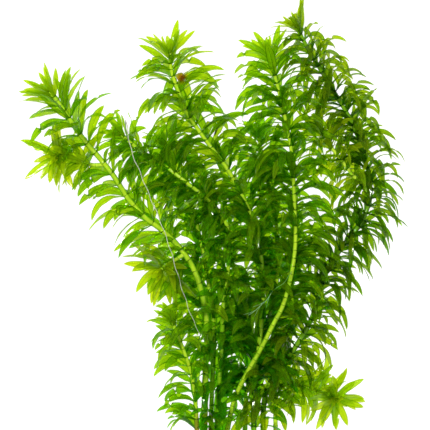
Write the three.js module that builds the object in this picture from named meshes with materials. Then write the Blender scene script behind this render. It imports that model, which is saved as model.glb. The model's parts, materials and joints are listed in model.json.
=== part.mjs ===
// A bunch of Brazilian waterweed (Egeria densa), cut and laid down on a flat surface.
// Each shoot is one piece that grew as one: a jointed stem with whorls of thin arching leaves.
// Units are millimetres. The surface is z = 0, +Z is up, +Y runs from the cut ends towards
// the growing tips, +X is to the right, and the origin is under the middle of the bunch.

import * as THREE from "three";

// Driving dimensions
const LEAVES_PER_WHORL = 5;
const LEAF_WIDTH = 3.9; // of a blade at its widest, on a leaf of LEAF_LENGTH
const LEAF_LENGTH = 20;
const BLADE_DEPTH = 0.8; // from the flat upper face down to the keel
const LONG_BLADE = [[0.36, 1], [0.7, 0.8]]; // sections: share of the length, share of the width
const SHORT_BLADE = [[0.5, 1]];
const SHORT_LENGTH = 11; // of a blade drawn with the second set of sections
const BAND_HEIGHT = 1.3; // of the ring on the stem that a whorl grows from
const BARE_STEP = 13; // between sections of stem that carry no leaves
const STEM_TAPER = 0.3; // share of its radius that a stem loses from its base to its apex
const FIRST_WHORL = 2.6; // from the apex to the youngest whorl
const YOUNG_SPACING = 1.9; // between the two youngest whorls
const SPACING_GROWTH = 0.55; // added to the spacing with each older whorl
const REST_HEIGHT = 0.3; // of a blade that lies along the surface
const FOOT_HEIGHT = 2; // a stem bears no leaf that would start lower, pressed on the surface
const ROOT_RADIUS = 0.4;
const ROOT_SIDES = 4;
const ROOT_STEPS = 3; // between two points of a root's route
const JOINT_GAP = 0.3; // between a side shoot and its parent stem
const JOINT_STEP = 0.1; // in the search for where a side shoot is clear of its parent

// How a leaf grows, in radians
const LEAN = 0.95; // from the stem's direction, at the leaf's foot
const YOUNG_LEAN = 0.5; // the same, at the apex
const OPEN_LEAN = 1.35; // the same, at an apex that has opened into a star
const RECURVE = 0.6; // turned back towards the stem's base along the blade
const DROOP_AT_FOOT = 0.5; // shares of a shoot's droop, which grows along the blade
const DROOP_AT_TIP = 1.5;
const ANGLE_SPREAD = 0.22; // how much leaves differ
const LEAN_SPREAD = 0.26;
const RECURVE_SPREAD = 0.3;
const DROOP_SPREAD = 0.5; // a share, like the next
const LENGTH_SPREAD = 0.18;
const LEAST_TWIST = 0.25; // share of the full twist, on the leaf that twists least
const FRONT = -Math.PI / 2; // the place round a stem that faces up
const WHORL_TURN = THREE.MathUtils.degToRad(25); // from one whorl to the next
const LEAF_TURN = (2 * Math.PI) / LEAVES_PER_WHORL;
const LEAF_STEPS = 14; // in the sum that bends a leaf
const FACE_UP = 0.72; // how far a blade twists to lie flat, as a share
const TWIST_LENGTH = 0.4; // share of a blade that it takes to twist
const STEEPEST_CLIMB = 0.9; // upward part of a heading that climbs away from the surface
const YOUNG_SHARE = 0.55; // of full length, on the youngest leaves
const YOUNG_WIDTH = 0.6; // of full width, the same
const YOUNGEST_AGE = 1.2; // of the youngest whorl, counted in whorls
const OPEN_AGE = 0.8; // least share of full growth on an apex that has opened

// Room kept between pieces, measured between sample points on the blades
const SAMPLES_ALONG = 16;
const SAMPLES_ACROSS = 5;
const ROOM_TO_OTHERS = 1.95;
const ROOM_TO_OWN = 1.35;
const ROOM_TO_STEMS = 1.3; // beyond the stem's radius
const FOOT_SHARE = 0.25; // of a blade that may be near its own stem
const WHORL_SHARE = 0.2; // of a blade, over which the leaves of one whorl draw apart
const CUBE = 4; // of space, in which the points that are near each other are kept together

// A leaf with no room tries these in turn: a change of lean, a turn round the stem, a length.
const TRIES = [
  [0, 0, 1],
  [0.2, 0, 1],
  [-0.2, 0, 1],
  [0, 0.25, 1],
  [0, -0.25, 1],
  [0.2, 0.25, 0.95],
  [0.2, -0.25, 0.95],
  [-0.25, 0.25, 0.9],
  [-0.25, -0.25, 0.9],
  [0, 0.45, 0.85],
  [0, -0.45, 0.85],
  [0.35, 0, 0.8],
  [-0.35, 0, 0.8],
  [0.2, 0.4, 0.65],
  [-0.3, -0.4, 0.65],
];

const MATERIALS = {
  shoot: { color: 0x5b9800, roughness: 0.45 },
  young: { color: 0x86b81a, roughness: 0.45 },
  root: { color: 0xd9dcc6, roughness: 0.6 },
};

// The shoots, each with the points that its stem passes through from the cut end to the apex.
// radius is the stem's at the base, bare the length with no leaves, spacing that of full-grown
// whorls, every how many whorls there are to a modelled one, leaf the length of a full-grown leaf
// and droop how far it sags towards the cut ends. aside is how many degrees round the stem are
// kept free of leaves on each side of its front, and young how many whorls have leaves that aren't
// full-grown. open marks an apex that has opened into a star.
// A side shoot names its parent stem, and its route starts inside that stem. Shoots higher in the
// list take their room first.
const SHOOTS = [
  {
    name: "left_side_shoot",
    radius: 1.1,
    parent: "left_stem",
    bare: 6,
    spacing: 4,
    every: 3,
    leaf: 18,
    droop: 0.7,
    aside: 0,
    young: 4,
    open: true,
    route: [
      [-53.2, 28.7, 12], [-60, 28.6, 9.5], [-68, 31.5, 9], [-75, 33, 11], [-78, 32.5, 17],
    ],
  },
  {
    name: "middle_side_shoot",
    radius: 1.1,
    parent: "left_stem",
    bare: 5,
    spacing: 3.4,
    every: 3,
    leaf: 22,
    droop: 0.8,
    aside: 0,
    young: 4,
    open: true,
    route: [
      [-13.2, -16.1, 8.5], [-17.5, -18.7, 11], [-22, -21.3, 14], [-26, -24.7, 18],
    ],
  },
  {
    name: "right_side_shoot",
    radius: 1.1,
    parent: "right_arching_stem",
    bare: 7,
    spacing: 4.4,
    every: 3,
    leaf: 18,
    droop: 1.2,
    aside: 15,
    young: 4,
    route: [
      [79.5, 13, 10], [75, 19, 12], [69.5, 25.3, 13], [62.8, 33.8, 14], [57.6, 40.3, 14],
      [53, 48, 15],
    ],
  },
  {
    name: "lower_right_stem",
    radius: 1.15,
    bare: 12,
    spacing: 4,
    every: 3,
    leaf: 17,
    droop: 0.5,
    aside: 0,
    young: 4,
    open: true,
    route: [
      [32.5, -107, 2], [32.5, -93, 2], [34, -84.5, 2.5], [39, -81, 3.5], [49, -83.5, 5.5],
      [57, -86.5, 8], [61.5, -88, 13], [62.5, -88.5, 19],
    ],
  },
  {
    name: "left_stem",
    radius: 1.7,
    bare: 50,
    spacing: 6.5,
    every: 2,
    leaf: 24,
    droop: 0.8,
    aside: 40,
    young: 8,
    route: [
      [-3.5, -110, 2], [-3, -84, 3], [-2, -56.5, 5], [-4, -38, 7], [-9, -23, 8], [-16.5, -12, 9],
      [-25.5, -3.3, 10], [-32.6, 1.9, 10.5], [-40.9, 11, 11.5], [-49, 23.5, 12], [-55.5, 31.7, 12],
      [-62.5, 39.8, 11.5], [-68.8, 48.5, 11], [-76.5, 60, 11.5], [-81.5, 65.8, 12.5],
    ],
  },
  {
    name: "upper_left_stem",
    radius: 1.4,
    bare: 4,
    spacing: 4.6,
    every: 3,
    leaf: 24,
    droop: 1,
    aside: 35,
    young: 5,
    route: [
      [21.5, -109, 2], [21.5, -84, 4], [23.5, -66.5, 7], [25.5, -49, 9], [26, -29, 11],
      [24, -11.5, 12], [20.5, 2, 13], [14.5, 15, 13], [8.5, 26, 13], [1.6, 35.3, 12.5],
      [-5.5, 44.9, 12], [-11.9, 54.6, 12], [-16.9, 66.7, 12], [-20, 77, 13], [-20.3, 86, 15],
    ],
  },
  {
    name: "crossing_stem",
    radius: 1.3,
    bare: 3,
    spacing: 3.8,
    every: 3,
    leaf: 18,
    droop: 1.5,
    aside: 10,
    young: 5,
    route: [
      [3, -109, 2], [4, -84, 4], [5.5, -59, 8], [6, -44, 11], [8, -29, 13], [9, -13, 14],
      [8.5, -3.5, 14.5], [5.5, 3, 15], [1.2, 8.3, 15.5], [-5.5, 14.4, 15.5], [-12, 19.5, 15],
      [-21, 26.5, 13], [-31, 33, 11], [-40, 39.5, 10], [-47, 45.5, 11],
    ],
  },
  {
    name: "tall_stem",
    radius: 1.25,
    bare: 78,
    spacing: 4,
    every: 3,
    leaf: 23,
    droop: 1.1,
    aside: 35,
    young: 5,
    route: [
      [7.3, -109, 3], [11.5, -90, 7], [17.7, -76, 12], [24.5, -64, 15], [31, -51, 17.5],
      [36, -41, 19], [40, -26, 20], [42, -10, 20], [41.6, 8.5, 21], [40.2, 33.5, 21],
      [36.8, 52, 20], [33.2, 67.5, 19], [28.5, 86, 19],
    ],
  },
  {
    name: "right_arching_stem",
    radius: 1.35,
    bare: 8,
    spacing: 3.8,
    every: 3,
    leaf: 20,
    droop: 1.6,
    aside: 10,
    young: 5,
    route: [
      [26, -108, 2], [27.5, -86.5, 3], [36, -71.5, 5], [42.5, -62.5, 7], [51, -47, 8],
      [56.5, -28, 9], [65, -13.5, 9.5], [75.5, 0.5, 10], [79.5, 13, 10], [78.3, 27, 10],
      [71.8, 47, 10.5], [65.3, 59, 11], [57.3, 72, 11.5], [49.5, 85, 12], [41.5, 99.5, 13],
    ],
  },
  {
    name: "lower_left_stem",
    radius: 1.2,
    bare: 4,
    spacing: 4.6,
    every: 3,
    leaf: 17,
    droop: 1,
    aside: 15,
    young: 4,
    route: [
      [-7, -108, 2], [-7.5, -96.5, 2], [-8.5, -84, 3], [-10.5, -74, 4], [-13.5, -65, 6],
      [-17, -56, 8], [-20, -47.5, 10],
    ],
  },
  {
    name: "inner_left_stem",
    radius: 1.15,
    bare: 2,
    spacing: 4,
    every: 3,
    leaf: 19,
    droop: 1.5,
    aside: 15,
    young: 4,
    route: [
      [-0.2, -107, 2], [0.5, -84, 2], [1.5, -56.5, 2.5], [-0.5, -36.5, 3], [-4, -15, 4], [-8, 2, 4.5],
      [-13, 16, 5], [-19, 30, 5.5], [-24, 41, 7],
    ],
  },
  {
    name: "centre_stem",
    radius: 1.25,
    bare: 2,
    spacing: 4,
    every: 3,
    leaf: 20,
    droop: 1.5,
    aside: 10,
    young: 4,
    route: [
      [17, -107, 2], [18, -86.5, 2], [23, -65, 2.2], [30, -45, 3], [33.5, -25, 4.5], [33, -5, 5.5],
      [30, 13.5, 6.5], [26, 31, 7.5], [23.5, 45, 9],
    ],
  },
];

// Pale water roots that grow from a node and lie over the leaves
const ROOTS = [
  {
    name: "long_root",
    route: [
      [-41.5, 40.8, 11.9], [-42.3, 45, 17], [-42.4, 50.5, 23], [-41.3, 46, 27.5], [-40.1, 38, 28.5],
      [-37.4, 30, 28.5], [-34, 22, 28], [-30.2, 12.5, 27], [-25.5, 1.5, 26.5], [-20.5, -12.5, 26],
      [-15, -31, 25], [-10, -46, 22], [-5.5, -56, 17],
    ],
  },
  {
    name: "short_root",
    route: [
      [40.2, -24.5, 21.8], [36.5, -29.5, 26], [31, -34, 28], [26.5, -39.5, 28], [23, -43, 27.5],
      [18.5, -46, 26],
    ],
  },
];

const UP = new THREE.Vector3(0, 0, 1);
const TOWARDS_CUT_ENDS = new THREE.Vector3(0, -1, 0);

// A number from 0 to 1 that is the same each time for the same leaf.
function chance(...seeds) {
  let sum = 1.37;
  for (const seed of seeds) sum = sum * 7.31 + seed * 1.93 + 0.71;
  const wave = Math.sin(sum) * 43758.5453;
  return wave - Math.floor(wave);
}

function spread(width, ...seeds) {
  return width * (2 * chance(...seeds) - 1);
}

function curveThrough(route) {
  const points = route.map((point) => new THREE.Vector3(...point));
  return new THREE.CatmullRomCurve3(points, false, "catmullrom", 0.5);
}

// The stem's middle, its direction and two directions across it, at a distance from its base.
function stemFrame(curve, distance) {
  const share = THREE.MathUtils.clamp(distance / curve.getLength(), 0, 1);
  const along = curve.getTangentAt(share);
  const side = new THREE.Vector3().crossVectors(along, UP).normalize();
  const front = new THREE.Vector3().crossVectors(side, along);
  return { centre: curve.getPointAt(share), along, side, front };
}

function outward(frame, angle) {
  return frame.side
    .clone()
    .multiplyScalar(Math.cos(angle))
    .addScaledVector(frame.front, -Math.sin(angle));
}

function stemRadius(shoot, distance, length) {
  return shoot.radius * (1 - STEM_TAPER * (distance / length));
}

// Distances of the whorls from the base, with the youngest whorl first.
function whorlDistances(shoot, length) {
  const found = [];
  let fromApex = FIRST_WHORL;
  while (fromApex < length - shoot.bare) {
    found.push(length - fromApex);
    fromApex += Math.min(shoot.spacing, YOUNG_SPACING + SPACING_GROWTH * (found.length - 1));
  }
  return found;
}

// Turns a heading that would take a leaf through the surface so that it climbs at least so steeply.
function turnAlongSurface(heading, steepness) {
  if (heading.z >= steepness) return;
  heading.z = Math.min(steepness, STEEPEST_CLIMB);
  const level = Math.hypot(heading.x, heading.y);
  const wanted = Math.sqrt(1 - heading.z * heading.z);
  heading.x *= wanted / level;
  heading.y *= wanted / level;
}

// The line that a leaf follows, with the direction and the upper face's normal at each step.
function growLeaf(frame, radius, shape) {
  const radial = outward(frame, shape.angle);
  const across = new THREE.Vector3().crossVectors(frame.along, radial);
  const heading = frame.along
    .clone()
    .multiplyScalar(Math.cos(shape.lean))
    .addScaledVector(radial, Math.sin(shape.lean));
  const point = frame.centre.clone().addScaledVector(radial, radius);
  const step = shape.length / LEAF_STEPS;
  const line = [];
  for (let i = 0; i <= LEAF_STEPS; i += 1) {
    const natural = new THREE.Vector3().crossVectors(heading, across).normalize();
    const flat = UP.clone().addScaledVector(heading, -heading.z).normalize();
    if (natural.dot(flat) < 0) flat.negate();
    const turned = FACE_UP * shape.twist * Math.min(1, i / (TWIST_LENGTH * LEAF_STEPS));
    const normal = natural.lerp(flat, turned).normalize();
    line.push({ point: point.clone(), heading: heading.clone(), normal });
    heading.applyAxisAngle(across, shape.recurve / LEAF_STEPS);
    const sag = THREE.MathUtils.lerp(DROOP_AT_FOOT, DROOP_AT_TIP, i / LEAF_STEPS);
    heading.addScaledVector(TOWARDS_CUT_ENDS, (sag * shape.droop) / LEAF_STEPS).normalize();
    turnAlongSurface(heading, (REST_HEIGHT + BLADE_DEPTH - point.z) / step);
    point.addScaledVector(heading, step);
  }
  return line;
}

// The sections of a blade, each with its left and right edges and its keel, and its tip.
function bladeOf(line, width, length) {
  const shares = length < SHORT_LENGTH ? SHORT_BLADE : LONG_BLADE;
  const sections = shares.map(([share, widthShare]) => {
    const at = line[Math.round(share * LEAF_STEPS)];
    const across = new THREE.Vector3().crossVectors(at.normal, at.heading).normalize();
    const half = (width * widthShare) / 2;
    const left = at.point.clone().addScaledVector(across, -half);
    const right = at.point.clone().addScaledVector(across, half);
    const keel = at.point.clone().addScaledVector(at.normal, -BLADE_DEPTH * widthShare);
    const lift = Math.max(0, REST_HEIGHT - Math.min(left.z, right.z, keel.z));
    for (const corner of [left, right, keel]) corner.z += lift;
    return { share, left, right, keel };
  });
  const foot = line[0].point;
  const tip = line[LEAF_STEPS].point.clone();
  tip.z = Math.max(tip.z, REST_HEIGHT);
  return { foot, sections, tip };
}

// Points spread over the flat side of a blade, for telling how near it comes to other pieces.
function samplesOf({ foot, sections, tip }) {
  const first = { share: 0, left: foot, right: foot };
  const last = { share: 1, left: tip, right: tip };
  const rows = [first, ...sections, last];
  const found = [];
  for (let i = 0; i <= SAMPLES_ALONG; i += 1) {
    const share = i / SAMPLES_ALONG;
    const next = Math.max(1, rows.findIndex((row) => row.share >= share));
    const [near, far] = [rows[next - 1], rows[next]];
    const t = (share - near.share) / (far.share - near.share);
    const left = near.left.clone().lerp(far.left, t);
    const right = near.right.clone().lerp(far.right, t);
    for (let j = 0; j < SAMPLES_ACROSS; j += 1) {
      found.push({ point: left.clone().lerp(right, j / (SAMPLES_ACROSS - 1)), share });
    }
  }
  return found;
}

// Points of the pieces placed so far, kept in cubes of space so that near ones are found fast.
const placed = new Map();

function cubeKey(x, y, z) {
  return `${x},${y},${z}`;
}

function place(point, owner, whorl, room) {
  const key = cubeKey(...point.toArray().map((v) => Math.floor(v / CUBE)));
  if (!placed.has(key)) placed.set(key, []);
  placed.get(key).push({ point, owner, whorl, room });
}

function nearTo(point) {
  const [x, y, z] = point.toArray().map((v) => Math.floor(v / CUBE));
  const found = [];
  for (let i = x - 1; i <= x + 1; i += 1) {
    for (let j = y - 1; j <= y + 1; j += 1) {
      for (let k = z - 1; k <= z + 1; k += 1) found.push(...(placed.get(cubeKey(i, j, k)) ?? []));
    }
  }
  return found;
}

function hasRoom(samples, owner, whorl) {
  return samples.every(({ point, share }) =>
    nearTo(point).every((other) => {
      const own = other.owner === owner;
      const ownWhorl = own && other.whorl === whorl;
      if (own && !ownWhorl && share < FOOT_SHARE) return true;
      const opened = ownWhorl ? Math.min(1, share / WHORL_SHARE) : 1;
      const room = other.room ?? (own ? ROOM_TO_OWN : ROOM_TO_OTHERS);
      return point.distanceTo(other.point) > room * opened;
    }),
  );
}

// A growing list of corners and triangles.
class Solid {
  constructor() {
    this.corners = [];
    this.triangles = [];
  }

  corner(point) {
    this.corners.push(point.x, point.y, point.z);
    return this.corners.length / 3 - 1;
  }

  face(...corners) {
    for (let i = 2; i < corners.length; i += 1) {
      this.triangles.push(corners[0], corners[i - 1], corners[i]);
    }
  }

  at(corner) {
    return new THREE.Vector3().fromArray(this.corners, 3 * corner);
  }

  // A side with four corners that don't lie in one plane is folded so that it bulges outwards.
  side(a, b, c, d) {
    const [from, ...rest] = [a, b, c, d].map((corner) => this.at(corner));
    const [toB, toC, toD] = rest.map((point) => point.sub(from));
    if (toB.cross(toC).dot(toD) <= 0) this.face(a, b, c, d);
    else this.face(b, c, d, a);
  }

  geometry() {
    const made = new THREE.BufferGeometry();
    made.setAttribute("position", new THREE.Float32BufferAttribute(this.corners, 3));
    made.setIndex(this.triangles);
    made.computeVertexNormals();
    return made;
  }
}

function ringCorners(frame, radius, angle, count = LEAVES_PER_WHORL) {
  return Array.from({ length: count }, (_, i) => {
    const out = outward(frame, angle + (i * 2 * Math.PI) / count);
    return frame.centre.clone().addScaledVector(out, radius);
  });
}

function addRing(solid, ...ring) {
  return ringCorners(...ring).map((corner) => solid.corner(corner));
}

function joinRings(solid, lower, upper) {
  lower.forEach((corner, i) => {
    const next = (i + 1) % lower.length;
    solid.side(corner, lower[next], upper[next], upper[i]);
  });
}

// Draws a blade out of one side of the stem's band, in place of that side's flat face.
function addBlade(solid, blade, lower, upper, i) {
  const next = (i + 1) % lower.length;
  const [a, b, c, d] = [lower[i], lower[next], upper[next], upper[i]];
  const corners = blade.sections.map((section) => ({
    left: solid.corner(section.left),
    right: solid.corner(section.right),
    keel: solid.corner(section.keel),
  }));
  const tip = solid.corner(blade.tip);
  const first = corners[0];
  solid.side(c, d, first.left, first.right);
  solid.side(d, a, first.keel, first.left);
  solid.side(b, c, first.right, first.keel);
  solid.face(a, b, first.keel);
  for (let k = 1; k < corners.length; k += 1) {
    const [near, far] = [corners[k - 1], corners[k]];
    solid.side(near.right, near.left, far.left, far.right);
    solid.side(near.left, near.keel, far.keel, far.left);
    solid.side(near.keel, near.right, far.right, far.keel);
  }
  const last = corners[corners.length - 1];
  solid.face(last.right, last.left, tip);
  solid.face(last.left, last.keel, tip);
  solid.face(last.keel, last.right, tip);
}

// Turns a leaf's place round the stem away from the front, so that the stem stays in sight.
function turnAside(angle, aside) {
  const fromFront = THREE.MathUtils.euclideanModulo(angle - FRONT + Math.PI, 2 * Math.PI) - Math.PI;
  const turned = aside + Math.abs(fromFront) * (1 - aside / Math.PI);
  return fromFront < 0 ? FRONT - turned : FRONT + turned;
}

// What one leaf is like: number is its shoot, whorl its place from the apex, leaf its place round.
function leafShape(shoot, number, whorl, leaf) {
  const grown = Math.min(1, (whorl + YOUNGEST_AGE) / shoot.young);
  const age = shoot.open ? Math.max(OPEN_AGE, grown) : grown;
  const tipLean = shoot.open ? OPEN_LEAN : YOUNG_LEAN;
  const length = shoot.leaf * THREE.MathUtils.lerp(YOUNG_SHARE, 1, age);
  const seeds = [number, whorl, leaf];
  const angle = WHORL_TURN * whorl + LEAF_TURN * (leaf + 0.5) + spread(ANGLE_SPREAD, ...seeds, 1);
  return {
    angle: turnAside(angle, THREE.MathUtils.degToRad(shoot.aside)),
    lean: THREE.MathUtils.lerp(tipLean, LEAN, grown) + spread(LEAN_SPREAD, ...seeds, 2),
    recurve: RECURVE * grown + spread(RECURVE_SPREAD, ...seeds, 3),
    droop: shoot.droop * grown * (1 + spread(DROOP_SPREAD, ...seeds, 4)),
    length: length * (1 + spread(LENGTH_SPREAD, ...seeds, 5)),
    width: LEAF_WIDTH * THREE.MathUtils.lerp(YOUNG_WIDTH, 1, age) * Math.sqrt(shoot.leaf / LEAF_LENGTH),
    twist: THREE.MathUtils.lerp(LEAST_TWIST, 1, chance(...seeds, 6)),
  };
}

function roomyBlade(shoot, number, whorl, leaf, frame, radius) {
  const shape = leafShape(shoot, number, whorl, leaf);
  const foot = frame.centre.clone().addScaledVector(outward(frame, shape.angle), radius);
  if (foot.z < FOOT_HEIGHT) return null;
  for (const [lean, turn, length] of TRIES) {
    const tried = {
      ...shape,
      lean: shape.lean + lean,
      angle: shape.angle + turn,
      length: shape.length * length,
    };
    const blade = bladeOf(growLeaf(frame, radius, tried), shape.width, tried.length);
    const samples = samplesOf(blade);
    if (hasRoom(samples, number, whorl)) {
      for (const { point, share } of samples) {
        if (share >= FOOT_SHARE / 2) place(point, number, whorl);
      }
      return blade;
    }
  }
  return null;
}

// The first stretch of a side shoot's route, inside its parent stem and the gap, is left off.
function hiddenLength(shoot, curve, angle) {
  const parent = SHOOTS.find(({ name }) => name === shoot.parent);
  if (!parent) return 0;
  const parentCurve = curveThrough(parent.route);
  const parentLength = parentCurve.getLength();
  const divisions = Math.round(parentLength / JOINT_STEP);
  const middles = parentCurve.getSpacedPoints(divisions);
  const isClear = (corner) =>
    middles.every((middle, i) => {
      const radius = stemRadius(parent, i * JOINT_STEP, parentLength);
      return corner.distanceTo(middle) > radius + JOINT_GAP;
    });
  let distance = 0;
  while (!ringCorners(stemFrame(curve, distance), shoot.radius, angle).every(isClear)) {
    distance += JOINT_STEP;
  }
  return distance;
}

function makeShoot(shoot, number) {
  const solid = new Solid();
  const curve = curveThrough(shoot.route);
  const length = curve.getLength();
  const whorls = whorlDistances(shoot, length)
    .map((distance, whorl) => ({ distance, whorl }))
    .filter(({ whorl }) => whorl % shoot.every === 0)
    .reverse();
  const radiusAt = (distance) => stemRadius(shoot, distance, length);

  // The bare stem, from the cut end to just under the oldest whorl
  let angle = WHORL_TURN * whorls[0].whorl;
  const start = hiddenLength(shoot, curve, angle);
  let lower = addRing(solid, stemFrame(curve, start), radiusAt(start), angle);
  solid.face(...[...lower].reverse());
  const bareEnd = whorls[0].distance - 2 * BAND_HEIGHT;
  const bareRings = Math.max(1, Math.round((bareEnd - start) / BARE_STEP));
  for (let i = 1; i <= bareRings; i += 1) {
    const distance = start + ((bareEnd - start) * i) / bareRings;
    const ring = addRing(solid, stemFrame(curve, distance), radiusAt(distance), angle);
    joinRings(solid, lower, ring);
    lower = ring;
  }

  // The whorls, each on a band of stem that is turned a little from the one below it
  for (const { distance, whorl } of whorls) {
    const wanted = WHORL_TURN * whorl;
    const turns = Math.round((angle - wanted) / LEAF_TURN);
    angle = wanted + turns * LEAF_TURN;
    const frame = stemFrame(curve, distance);
    const radius = radiusAt(distance);
    const under = stemFrame(curve, distance - BAND_HEIGHT / 2);
    const over = stemFrame(curve, distance + BAND_HEIGHT / 2);
    const bandFoot = addRing(solid, under, radius, angle);
    const bandHead = addRing(solid, over, radius, angle);
    joinRings(solid, lower, bandFoot);
    for (let i = 0; i < LEAVES_PER_WHORL; i += 1) {
      const leaf = THREE.MathUtils.euclideanModulo(i + turns, LEAVES_PER_WHORL);
      const blade = roomyBlade(shoot, number, whorl, leaf, frame, radius);
      const next = (i + 1) % LEAVES_PER_WHORL;
      if (blade) addBlade(solid, blade, bandFoot, bandHead, i);
      else solid.side(bandFoot[i], bandFoot[next], bandHead[next], bandHead[i]);
    }
    lower = bandHead;
  }

  // The growing point
  const apex = solid.corner(curve.getPointAt(1));
  lower.forEach((corner, i) => solid.face(corner, lower[(i + 1) % lower.length], apex));
  return solid.geometry();
}

function makeRoot(root) {
  const solid = new Solid();
  const curve = curveThrough(root.route);
  const steps = ROOT_STEPS * (root.route.length - 1);
  const ringAt = (i) => {
    const distance = (curve.getLength() * i) / steps;
    return addRing(solid, stemFrame(curve, distance), ROOT_RADIUS, 0, ROOT_SIDES);
  };
  let lower = ringAt(0);
  solid.face(...[...lower].reverse());
  for (let i = 1; i <= steps; i += 1) {
    const upper = ringAt(i);
    joinRings(solid, lower, upper);
    lower = upper;
  }
  solid.face(...lower);
  return solid.geometry();
}

// Every stem and root is placed before any leaf, so that leaves keep clear of them all.
function placeLine(route, radius, number) {
  const curve = curveThrough(route);
  for (const point of curve.getSpacedPoints(Math.round(curve.getLength()))) {
    place(point, number, -1, radius + ROOM_TO_STEMS);
  }
}

SHOOTS.forEach((shoot, number) => placeLine(shoot.route, shoot.radius, number));
ROOTS.forEach((root, i) => placeLine(root.route, ROOT_RADIUS, SHOOTS.length + i));

const bunch = new THREE.Group();
bunch.name = "waterweed_bunch";

SHOOTS.forEach((shoot, number) => {
  const material = new THREE.MeshStandardMaterial(shoot.parent ? MATERIALS.young : MATERIALS.shoot);
  const mesh = new THREE.Mesh(makeShoot(shoot, number), material);
  mesh.name = shoot.name;
  bunch.add(mesh);
});

ROOTS.forEach((root) => {
  const material = new THREE.MeshStandardMaterial(MATERIALS.root);
  const mesh = new THREE.Mesh(makeRoot(root), material);
  mesh.name = root.name;
  bunch.add(mesh);
});

export default bunch;
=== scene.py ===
"""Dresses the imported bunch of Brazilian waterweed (Egeria densa).

The stems and leaves grow here by the same rules, routes and seeds as in the part's source, so that
each leaf of a solid has its thin leaf in the same place. The whorls between those that the solids
have are added, with the buds, the joints of the stems and the two water roots.
Lengths are in millimetres until a mesh is made.
"""

import json
import math

import bpy
import numpy as np
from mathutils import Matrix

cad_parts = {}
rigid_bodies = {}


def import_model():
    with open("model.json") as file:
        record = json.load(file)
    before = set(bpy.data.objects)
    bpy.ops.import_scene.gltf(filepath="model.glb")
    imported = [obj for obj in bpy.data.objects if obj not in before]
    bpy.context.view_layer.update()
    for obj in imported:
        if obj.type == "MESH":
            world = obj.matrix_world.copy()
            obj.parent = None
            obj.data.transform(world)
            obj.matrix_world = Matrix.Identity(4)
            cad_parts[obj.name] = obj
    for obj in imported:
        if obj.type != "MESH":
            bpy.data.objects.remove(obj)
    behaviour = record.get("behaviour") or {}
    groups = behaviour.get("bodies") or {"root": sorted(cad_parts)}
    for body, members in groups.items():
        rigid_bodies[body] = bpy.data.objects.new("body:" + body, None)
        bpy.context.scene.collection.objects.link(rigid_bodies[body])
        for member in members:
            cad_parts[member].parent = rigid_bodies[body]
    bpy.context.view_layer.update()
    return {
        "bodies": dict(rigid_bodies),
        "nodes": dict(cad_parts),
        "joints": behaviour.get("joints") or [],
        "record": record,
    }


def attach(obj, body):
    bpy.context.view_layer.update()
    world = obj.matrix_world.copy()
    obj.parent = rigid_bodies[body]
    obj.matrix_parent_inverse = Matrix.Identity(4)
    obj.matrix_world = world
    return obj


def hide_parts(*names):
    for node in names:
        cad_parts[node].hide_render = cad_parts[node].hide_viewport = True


MM = 0.001

# Growth, as in the part's source
LEAVES_PER_WHORL = 5
LEAF_WIDTH = 3.9  # on a leaf of LEAF_LENGTH
LEAF_LENGTH = 20
BLADE_DEPTH = 0.8  # from the flat side of a solid's blade to its keel
LONG_BLADE = [(0.36, 1), (0.7, 0.8)]  # sections: share of the length, share of the width
SHORT_BLADE = [(0.5, 1)]
SHORT_LENGTH = 11  # of a blade that has the second of these
STEM_TAPER = 0.3  # share of its radius that a stem loses by its apex
FIRST_WHORL = 2.6  # from the apex to the youngest whorl
YOUNG_SPACING = 1.9  # between the two youngest whorls
SPACING_GROWTH = 0.55  # added with each older whorl
REST_HEIGHT = 0.3  # of a blade that lies along the surface
FOOT_HEIGHT = 2  # a solid bears no leaf that would start lower
ROOT_RADIUS = 0.4
LEAN = 0.95  # from the stem's direction
YOUNG_LEAN = 0.5  # the same, at the apex
OPEN_LEAN = 1.35  # the same, at an open apex
RECURVE = 0.6  # turned back along the blade
ANGLE_SPREAD = 0.22
LEAN_SPREAD = 0.26
RECURVE_SPREAD = 0.3
DROOP_SPREAD = 0.5  # a share, like the next
LENGTH_SPREAD = 0.18
LEAST_TWIST = 0.25  # share of the full twist
FRONT = -math.pi / 2  # the place round a stem that faces up
WHORL_TURN = math.radians(25)
LEAF_TURN = 2 * math.pi / LEAVES_PER_WHORL
LEAF_STEPS = 14  # in the sum that bends a leaf
FACE_UP = 0.72  # how far a blade twists to lie flat, as a share
TWIST_LENGTH = 0.4  # share of a blade that it takes to twist
STEEPEST_CLIMB = 0.9  # upward part of a heading
YOUNG_SHARE = 0.55  # of full length, on the youngest leaves
YOUNG_WIDTH = 0.6  # of full width, the same
YOUNGEST_AGE = 1.2  # counted in whorls
OPEN_AGE = 0.8  # least share of full growth at an open apex

# Room between sample points of the pieces
SAMPLES_ALONG = 16
SAMPLES_ACROSS = 5
ROOM_TO_OTHERS = 1.95
ROOM_TO_OWN = 1.35
ROOM_TO_STEMS = 1.3  # beyond the stem's radius
FOOT_SHARE = 0.25  # of a blade that may be near its own shoot
WHORL_SHARE = 0.2  # of a blade, over which the leaves of one whorl draw apart
NO_WHORL = -1

# A leaf with no room tries these in turn: a change of lean, a turn round the stem, a length
TRIES = np.array([
    (0, 0, 1), (0.2, 0, 1), (-0.2, 0, 1), (0, 0.25, 1), (0, -0.25, 1),
    (0.2, 0.25, 0.95), (0.2, -0.25, 0.95), (-0.25, 0.25, 0.9), (-0.25, -0.25, 0.9),
    (0, 0.45, 0.85), (0, -0.45, 0.85), (0.35, 0, 0.8), (-0.35, 0, 0.8),
    (0.2, 0.4, 0.65), (-0.3, -0.4, 0.65),
])

SCRAMBLE = (1.37, 7.31, 1.93, 0.71, 43758.5453)  # what chance() mixes its seeds with

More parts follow.
